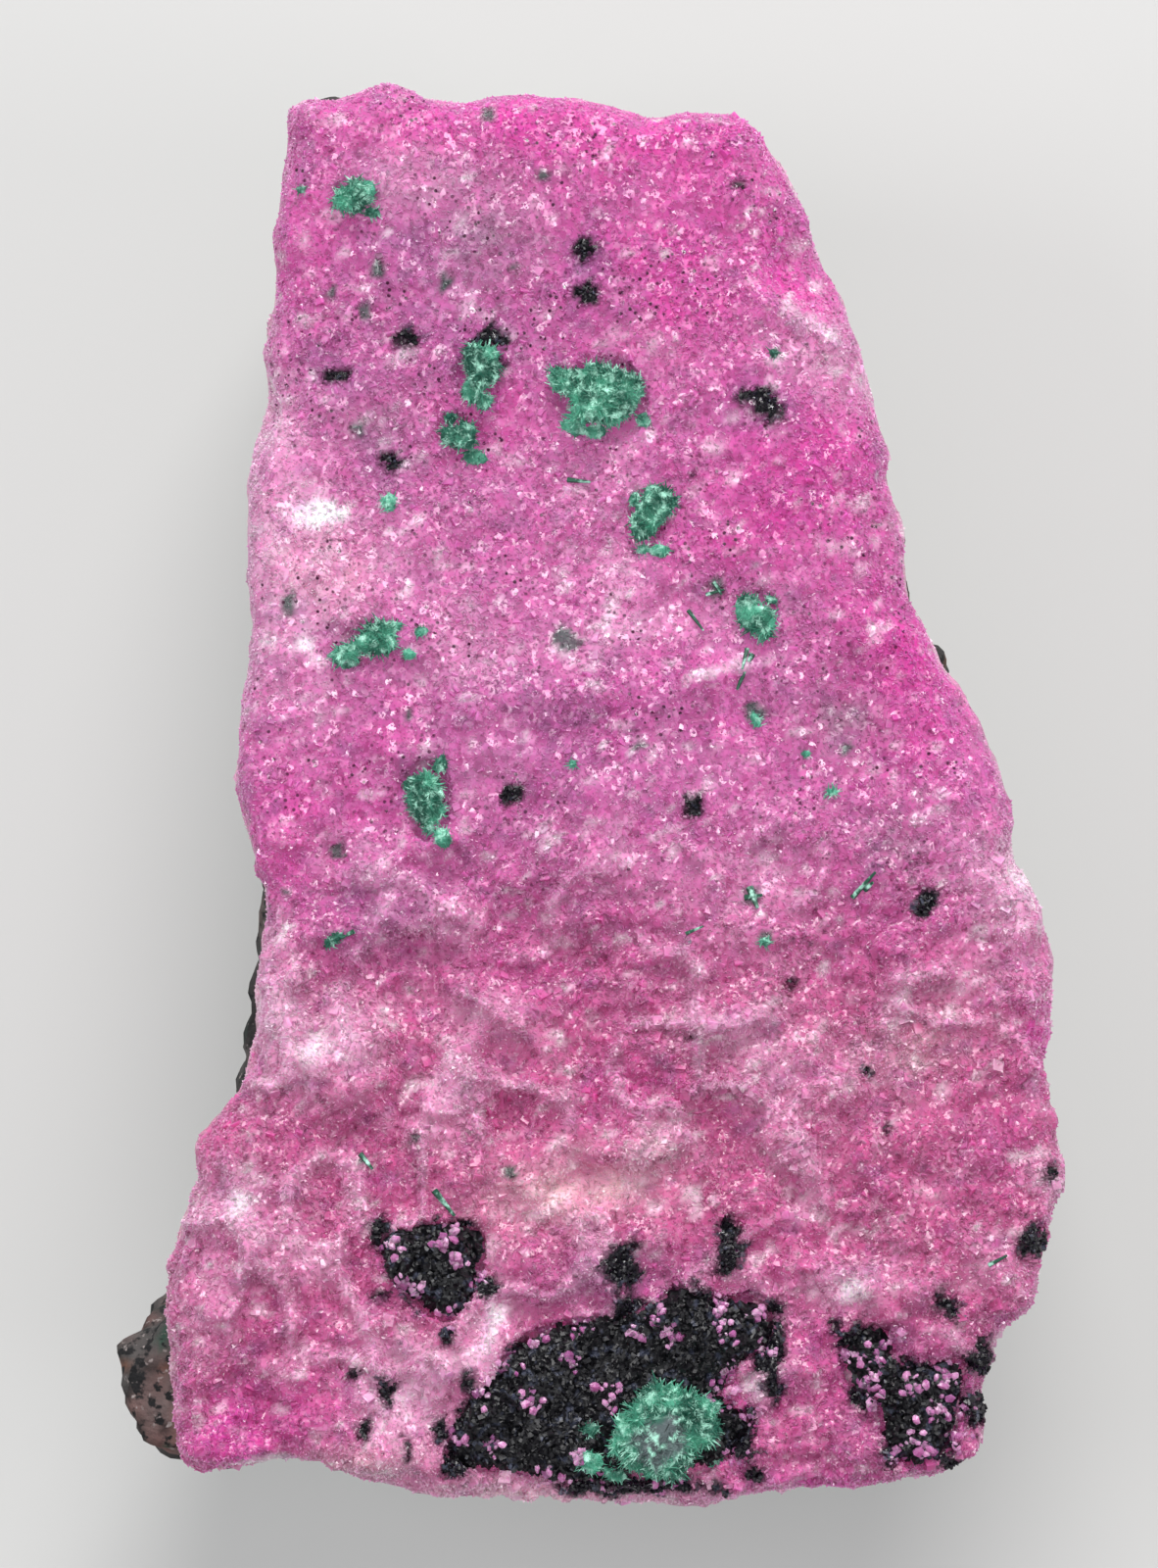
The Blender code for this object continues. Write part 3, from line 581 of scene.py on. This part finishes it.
def lone_luck(thing, corners, seed):
    """One random number for all the corners of each small form."""
    count = len(thing.data.vertices) // corners + 1
    return np.repeat(np.random.default_rng(seed).random(count), corners)[:len(thing.data.vertices)]


def middles(thing, corners):
    return places_of(thing).reshape(-1, corners, 3).mean(axis=1)


grown_nodes = [name for name in frame["nodes"] if name.startswith(("black_", "malachite_"))]
under = covered(bed, grown_nodes)
grain = 0.85 + 0.20 * rise(-spots[:, 1], -1.0, 9.0)
grain *= 1 + 0.40 * drift(spots, 1.6, 51)
floats(bed, "grain", grain)
floats(bed, "druse", rise(facing[:, 2], 0.10, 0.45) * ~under)
floats(bed, "soot", rise(facing[:, 2], 0.2, 0.5) * soot_share(spots) * ~under)
tip_tree = scatter_tree("calcite tips", "druse", crystal_tip, 0.55)
rhomb_tree = scatter_tree("calcite rhombs", "druse", rhomb, 0.6)

for name, tree, corners, span, amount, small, large, seed in (
        ("fine_druse_crystals", tip_tree, TIP_CORNERS, UPPER_DRUSE, 62, 0.08, 0.19, 1),
        ("middle_druse_crystals", tip_tree, TIP_CORNERS, MIDDLE_DRUSE, 60, 0.08, 0.18, 2),
        ("coarse_druse_crystals", tip_tree, TIP_CORNERS, LOWER_DRUSE, 56, 0.08, 0.18, 3),
        ("larger_calcite_rhombs", rhomb_tree, BOX_CORNERS, (-30.0, 30.0), 1.3, 0.14, 0.44, 4)):
    druse = scattered(bed, name, tree, calcite.material, seed, amount, small, large, span)
    luck = lone_luck(druse, corners, seed)[::corners]
    roots = middles(druse, corners)
    shade = face_colour(roots, luck)
    clear = (luck > 0.95) & (soot_share(roots) < 0.5)
    shade = blended(shade, SNOW, np.where(clear, 0.5, 0.0))
    tinted(druse, np.repeat(shade, corners, axis=0), np.repeat(speck_share(roots), corners))
    kept_inside(druse)
    dressed(druse, calcite.material, "calcite")


# The black oxide: sooty growths of tiny blades, in three thick patches set in the crust and
# in small spots over it. Pebbles of pink calcite poke through the patches.
OXIDE_DARK, OXIDE_BLUE = rgb(14, 13, 18), rgb(52, 56, 72)


def blade(add):
    """A thin little plate."""
    return add("GeometryNodeMeshCube", values={"Size": (1.0, 0.55, 0.35)}).outputs[0]


def joined(name, things):
    with bpy.context.temp_override(active_object=things[0], object=things[0],
                                   selected_objects=things, selected_editable_objects=things):
        bpy.ops.object.join()
    things[0].name = name
    return things[0]


oxide = Finish("sooty black oxide", 0.42, 0.45)
look = oxide.mixed(oxide.ranged(oxide.noise(2200), 0.56, 0.72), oxide.tint.outputs["Color"],
                   rgb(70, 74, 92))
oxide.faceted(5200, 0.9)
oxide.coloured(look)
blade_tree = scatter_tree("oxide blades", "growth", blade, 1.5)
spot_tree = scatter_tree("oxide spots", "soot", blade, 1.5)

for seed, (node, name) in enumerate((("black_oxide_large", "black_oxide_patch_large"),
                                     ("black_oxide_round", "black_oxide_patch_round"),
                                     ("black_oxide_corner", "black_oxide_patch_corner"))):
    patch = fine_copy(node, name + "_bed", 0.28 * MM)
    spots, facing = places_of(patch), normals_of(patch)
    relief = 0.32 + 0.45 * (crests(spots, 0.9, 61) - 0.4) + 0.12 * drift(spots, 0.6, 62)
    put(patch, spots + facing * relief[:, None])
    spots, facing = places_of(patch), normals_of(patch)
    floats(patch, "growth", rise(facing[:, 2], -0.1, 0.5))
    floats(patch, "grain", 1 + 0.5 * drift(spots, 1.0, 63))
    tinted(patch, np.tile(OXIDE_DARK, (len(spots), 1)))
    blades = scattered(patch, name, blade_tree, oxide.material, 70 + seed, 34, 0.14, 0.42)
    luck = lone_luck(blades, BOX_CORNERS, 70 + seed)
    tinted(blades, blended(OXIDE_DARK, OXIDE_BLUE, luck ** 3))
    kept_inside(blades)
    dressed(joined(name, [patch, blades]), oxide.material, "oxide", node)

spots_piece = scattered(bed, "black_oxide_spots", spot_tree, oxide.material, 74, 55, 0.12, 0.30)
luck = lone_luck(spots_piece, BOX_CORNERS, 74)
tinted(spots_piece, blended(OXIDE_DARK, OXIDE_BLUE, luck ** 3))
kept_inside(spots_piece)
dressed(spots_piece, oxide.material, "oxide")

# Pink pebbles in the black: middle and how far they spread
PEBBLES = [
    (1.0, -23.2, 0.45), (-2.2, -23.5, 0.40), (3.4, -21.0, 0.35), (5.3, -20.7, 0.40),
    (-0.6, -21.9, 0.35), (4.9, -23.3, 0.45), (2.0, -20.9, 0.30), (-3.6, -25.1, 0.35),
    (5.6, -22.3, 0.35), (-6.6, -19.1, 0.35), (-5.0, -18.0, 0.30), (-5.6, -17.4, 0.25),
    (11.4, -21.6, 0.45), (12.7, -22.9, 0.55), (13.7, -23.9, 0.50), (12.6, -24.9, 0.45),
    (14.2, -22.6, 0.35), (13.4, -25.6, 0.40), (14.4, -25.0, 0.35), (11.0, -22.5, 0.35),
    (-0.4, -25.6, 0.30), (6.0, -25.6, 0.45), (-1.6, -26.6, 0.45), (3.2, -26.9, 0.40),
    (-5.0, -25.0, 0.40), (-4.1, -23.1, 0.40), (-2.9, -22.1, 0.40), (-1.8, -21.2, 0.35),
    (-0.1, -20.6, 0.35), (2.8, -20.1, 0.35), (5.3, -19.6, 0.35), (6.7, -20.1, 0.35),
    (7.1, -21.5, 0.40), (5.9, -23.0, 0.40), (6.4, -24.1, 0.35), (0.6, -26.9, 0.40),
    (-7.5, -17.5, 0.30), (-5.3, -16.9, 0.30), (-4.1, -18.7, 0.30), (-5.4, -20.2, 0.35),
    (-7.2, -18.9, 0.35), (10.4, -21.6, 0.35), (12.2, -21.1, 0.40), (11.3, -23.5, 0.40),
    (12.0, -25.7, 0.40), (14.8, -24.0, 0.35),
]
shown = [thing for thing in bpy.data.objects if thing.name in (
    "pink_calcite_crust", "black_oxide_patch_large", "black_oxide_patch_round",
    "black_oxide_patch_corner")]


def surface(x, y):
    """Height in millimetres of the highest thing at that place."""
    best = 0.0
    for thing in shown:
        hit, place, _, _ = thing.ray_cast(Vector((x * MM, y * MM, 1)), Vector((0, 0, -1)))
        if hit:
            best = max(best, place.z / MM)
    return best


def knobs(name, seats, rounds=2):
    """Low round lumps on the surface: each seat is x, y, the half widths and a turn."""
    work = bmesh.new()
    for number, (x, y, wide, tall, deep, turn) in enumerate(seats):
        angle, level = math.radians(turn), surface(x, y)
        lump = bmesh.ops.create_icosphere(work, subdivisions=rounds, radius=1.0)["verts"]
        ways = np.array([v.co for v in lump])
        swell = 1 + 0.35 * drift(ways + number * 7.7, 0.8, 81)
        for vertex, way, size in zip(lump, ways, swell):
            dx, dy = way[0] * wide * size, way[1] * tall * size
            vertex.co = ((x + dx * math.cos(angle) - dy * math.sin(angle)) * MM,
                         (y + dx * math.sin(angle) + dy * math.cos(angle)) * MM,
                         (level + way[2] * deep * size) * MM)
    mesh = bpy.data.meshes.new(name)
    work.to_mesh(mesh)
    work.free()
    made = bpy.data.objects.new(name, mesh)
    bpy.context.scene.collection.objects.link(made)
    return made


PEBBLES_PER_GROUP = 12
PEBBLE_CORNERS = 12          # vertices of an icosphere divided once

rng = np.random.default_rng(17)
seats = []
for x, y, reach in PEBBLES:
    for _ in range(PEBBLES_PER_GROUP):
        dx, dy = rng.normal(0, reach * 0.62, 2)
        size = rng.uniform(0.09, 0.26)
        seats.append((x + dx, y + dy, size, size * rng.uniform(0.5, 1.0), size * 0.6,
                      rng.uniform(0, 180)))
pebbles = knobs("pink_pebbles_in_oxide", seats, rounds=1)
luck = lone_luck(pebbles, PEBBLE_CORNERS, 19)
tinted(pebbles, blended(rgb(140, 84, 130), rgb(214, 150, 190), luck), np.full(len(luck), 0.2))
dressed(pebbles, calcite.material, "calcite")


# The malachite: felted mats and sprays of green needles, grown on the crust and on the big
# knob in the black patch. Small mats, blebs and lone dark needles lie between them.
# The palest green is partly the malachite's own tint and partly a painted highlight for the sheen
# of its silky needles.
MINT_AND_SHEEN, GREEN, DEEP = rgb(176, 232, 212), rgb(82, 166, 138), rgb(26, 86, 70)


NEEDLE_SIDES = 5
NEEDLE_CORNERS = 2 * NEEDLE_SIDES


def needle(add):
    """A slim tapered needle, one long, standing on its foot."""
    cone = add("GeometryNodeMeshCone", values={
        "Vertices": NEEDLE_SIDES, "Radius Top": 0.02, "Radius Bottom": 0.10, "Depth": 1.0})
    return add("GeometryNodeTransform", {0: cone.outputs[0]},
               {"Translation": (0, 0, -0.25)}).outputs[0]


malachite = Finish("green malachite needles", 0.48, 0.45)
# Noise patches of pale mint: partly a painted highlight on the felt.
look = malachite.mixed(malachite.ranged(malachite.noise(3000), 0.50, 0.70),
                       malachite.tint.outputs["Color"], MINT_AND_SHEEN)
malachite.bumped(malachite.noise(5200, 5), 0.05 * MM)
malachite.coloured(look)
needle_tree = scatter_tree("malachite needles", "growth", needle, 1.25)


def felted(base, name, seed, amount, small, large, node=None, core=None):
    """Covers a lump in needles and joins both into one piece."""
    spots, facing = places_of(base), normals_of(base)
    floats(base, "growth", rise(facing[:, 2], -0.35, 0.2))
    floats(base, "grain", 1 + 0.5 * drift(spots, 0.7, seed))
    mat = blended(DEEP, GREEN, rise(drift(spots, 0.5, seed + 1), -0.5, 0.8))
    if core is not None:
        grey = patch_share(spots, *core, 0.8, seed)
        mat = blended(mat, rgb(86, 94, 98), 0.90 * rise(grey, 0.35, 0.60))
    tinted(base, mat)
    needles = scattered(base, name, needle_tree, malachite.material, seed, amount, small, large)
    luck = lone_luck(needles, NEEDLE_CORNERS, seed)
    roots = places_of(needles)
    shade = blended(DEEP, GREEN, np.clip(1.6 * luck, 0, 1))
    # Needles with high luck turn pale mint, partly as painted highlights.
    shade = blended(shade, MINT_AND_SHEEN, rise(luck, 0.60, 0.95))
    if core is not None:
        grey = patch_share(roots, *core, 0.8, seed)
        shade = blended(shade, rgb(48, 62, 64), 0.90 * rise(grey, 0.35, 0.60))
    tinted(needles, shade)
    kept_inside(needles)
    piece = joined(name, [base, needles])
    dressed(piece, malachite.material, "malachite", *([node] if node else []))


TUFT_NAMES = ["middle", "neck", "left_pair", "right", "shoulder", "diagonal", "upright", "top"]
for seed, part in enumerate(TUFT_NAMES, start=90):
    base = fine_copy("malachite_tuft_" + part, "mat_" + part, 0.13 * MM)
    spots, facing = places_of(base), normals_of(base)
    relief = 0.22 * (crests(spots, 0.5, seed) - 0.35) + 0.16 * drift(spots, 0.5, seed)
    sprawl = 0.75 * drift(spots * (1, 1, 0), 0.95, seed + 7)
    put(base, spots + facing * relief[:, None] + facing * (1, 1, 0.1) * sprawl[:, None])
    felted(base, "malachite_mat_" + part, seed, 95, 0.22, 0.55, "malachite_tuft_" + part)

base = fine_copy("malachite_knob", "mat_knob", 0.16 * MM)
spots, facing = places_of(base), normals_of(base)
relief = 0.40 * (crests(spots, 0.8, 99) - 0.4) + 0.22 * drift(spots, 0.6, 99)
put(base, spots + facing * relief[:, None])
felted(base, "malachite_ball", 99, 85, 0.25, 0.60, "malachite_knob",
       (2.9, -25.1, 1.30, 1.00, 20))

# Small green mats: x, y, half widths and turn
SMALL_MATS = [
    (2.3, 14.7, 0.32, 0.28, 0), (-7.65, 11.5, 0.30, 0.32, 0), (-9.8, -5.5, 0.50, 0.18, 35),
    (-6.4, 6.45, 0.30, 0.20, 20), (-6.85, 5.6, 0.25, 0.22, 0), (-0.5, 1.3, 0.16, 0.14, 0),
    (8.6, 1.7, 0.16, 0.14, 0), (9.6, 0.2, 0.18, 0.15, 0), (-11.05, 23.7, 0.22, 0.14, 0),
    (-7.5, 6.6, 0.42, 0.24, 25), (-9.3, 5.2, 0.50, 0.26, 30), (-6.9, 0.6, 0.40, 0.30, 30),
    (-5.5, -1.6, 0.42, 0.30, -60), (-5.6, 1.3, 0.30, 0.34, 0), (2.9, 9.6, 0.42, 0.26, 0),
    (1.9, 11.7, 0.26, 0.26, 0), (2.3, 9.6, 0.30, 0.20, 0), (-0.5, 14.4, 0.55, 0.30, -20),
    (0.0, 16.2, 0.55, 0.34, 30), (2.1, 15.9, 0.40, 0.30, 0), (0.3, 14.2, 0.50, 0.30, 10),
    (-4.4, 17.2, 0.36, 0.34, 0), (-3.9, 15.4, 0.34, 0.30, 0), (-5.3, 14.9, 0.34, 0.26, 0),
    (-4.3, 13.3, 0.46, 0.32, -20), (7.0, 6.4, 0.30, 0.26, 0), (6.4, 7.6, 0.34, 0.16, 30),
    (7.3, 7.7, 0.28, 0.16, -20), (-8.3, 22.8, 0.34, 0.20, 0), (-9.3, 23.7, 0.26, 0.22, 0),
    (0.2, -24.6, 0.40, 0.28, 0), (0.1, -25.8, 0.55, 0.40, -20), (1.1, -26.3, 0.50, 0.34, -30),
    (1.4, -24.3, 0.50, 0.30, 60), (4.8, -23.9, 0.50, 0.34, 30), (5.1, -26.0, 0.34, 0.50, 0),
    (6.65, 3.0, 0.18, 0.30, 20), (7.0, -5.6, 0.22, 0.16, 0), (7.3, 17.3, 0.16, 0.14, 0),
]
mats = knobs("small_mats", [(x, y, wide, tall, 0.22, turn)
                            for x, y, wide, tall, turn in SMALL_MATS])
felted(mats, "malachite_small_mats", 111, 110, 0.16, 0.40)

# Lone dark needles: the two ends and the half width
LONE_NEEDLES = [
    (6.5, 5.6, 5.9, 4.2, 0.13), (10.4, -3.9, 11.3, -2.9, 0.12), (-5.9, -15.3, -5.1, -16.3, 0.14),
    (15.7, -18.2, 16.4, -17.8, 0.10), (4.0, 7.3, 4.6, 6.5, 0.09), (6.3, 5.8, 6.1, 5.0, 0.10),
    (-0.7, 12.4, 0.2, 12.3, 0.11), (5.0, 8.4, 5.3, 7.9, 0.10), (4.7, 7.9, 5.4, 8.1, 0.08),
    (6.4, -3.5, 6.7, -4.3, 0.16), (6.2, -3.9, 6.9, -3.8, 0.12), (-9.0, -5.2, -10.2, -5.8, 0.10),
    (-8.8, -13.9, -8.3, -14.5, 0.12), (10.9, -3.6, 11.2, -3.3, 0.12), (3.9, -5.3, 4.6, -5.0, 0.08),
]
work = bmesh.new()
for x0, y0, x1, y1, half in LONE_NEEDLES:
    ends = [Vector((x0, y0, surface(x0, y0) + 0.02)), Vector((x1, y1, surface(x1, y1) + 0.16))]
    way = (ends[1] - ends[0]).normalized()
    side = way.cross(Vector((0, 0, 1))).normalized()
    up = side.cross(way)
    rings = []
    for end, size in zip(ends, (half, half * 0.45)):
        rings.append([work.verts.new((end + (side * math.cos(a) + up * math.sin(a)) * size) * MM)
                      for a in np.arange(6) * math.pi / 3])
    for k in range(6):
        work.faces.new((rings[0][k], rings[0][(k + 1) % 6], rings[1][(k + 1) % 6], rings[1][k]))
    work.faces.new(rings[0][::-1])
    work.faces.new(rings[1])
bmesh.ops.recalc_face_normals(work, faces=work.faces)
mesh = bpy.data.meshes.new("dark_malachite_needles")
work.to_mesh(mesh)
work.free()
lone = bpy.data.objects.new("dark_malachite_needles", mesh)
bpy.context.scene.collection.objects.link(lone)
tinted(lone, np.tile(rgb(22, 74, 56), (len(mesh.vertices), 1)))
dressed(lone, malachite.material, "malachite")


# The setting: a plain pale floor, a broad soft light from the top of the frame, fills from
# the sides, and small lamps that wake glints in the druse. The camera looks straight down.
FLOOR_TONE = rgb(192, 192, 191)
EYE = (-0.25, 0.53, 271.8)   # millimetres
LENS = 150.0

bpy.ops.mesh.primitive_plane_add(size=3.0, location=(0, 0, 0))
floor = bpy.context.object
floor.name = "pale_floor"
floor_finish = bpy.data.materials.new("pale card")
floor_finish.use_nodes = True
card = floor_finish.node_tree.nodes["Principled BSDF"]
card.inputs["Base Color"].default_value = (*FLOOR_TONE, 1.0)
card.inputs["Roughness"].default_value = 0.9
floor.data.materials.append(floor_finish)


def lamp(name, place, size, watts, tone=(1.0, 1.0, 1.0), shadow=True):
    light = bpy.data.lights.new(name, "AREA")
    light.shape = "DISK"
    light.size = size
    light.energy = watts
    light.color = tone
    light.use_shadow = shadow
    made = bpy.data.objects.new(name, light)
    made.location = place
    made.rotation_euler = (Vector((0, 0, 0.01)) - Vector(place)).to_track_quat("-Z", "Y").to_euler()
    bpy.context.scene.collection.objects.link(made)


lamp("broad_light_from_above", (0.06, 0.55, 0.42), 0.40, 4.6, (1.0, 0.985, 0.97))
lamp("left_fill", (-0.55, 0.05, 0.45), 0.35, 1.3, (0.97, 0.985, 1.0))
lamp("right_fill", (0.60, -0.10, 0.40), 0.35, 0.9)
lamp("glint_left", (-0.18, 0.30, 0.50), 0.03, 0.8, shadow=False)
lamp("glint_right", (0.25, 0.22, 0.50), 0.03, 0.8, shadow=False)
lamp("glint_near", (0.04, -0.30, 0.55), 0.03, 0.3, shadow=False)

world = bpy.data.worlds.new("soft room")
bpy.context.scene.world = world
world.use_nodes = True
world.node_tree.nodes["Background"].inputs["Color"].default_value = (0.95, 0.97, 1.0, 1.0)
world.node_tree.nodes["Background"].inputs["Strength"].default_value = 0.26
bpy.context.scene.view_settings.view_transform = "Standard"

eye = bpy.data.objects.new("camera", bpy.data.cameras.new("camera"))
bpy.context.scene.collection.objects.link(eye)
eye.location = Vector(EYE) * MM
eye.data.lens = LENS
eye.data.sensor_width = 36.0
eye.data.clip_start, eye.data.clip_end = 0.01, 10.0
bpy.context.scene.camera = eye
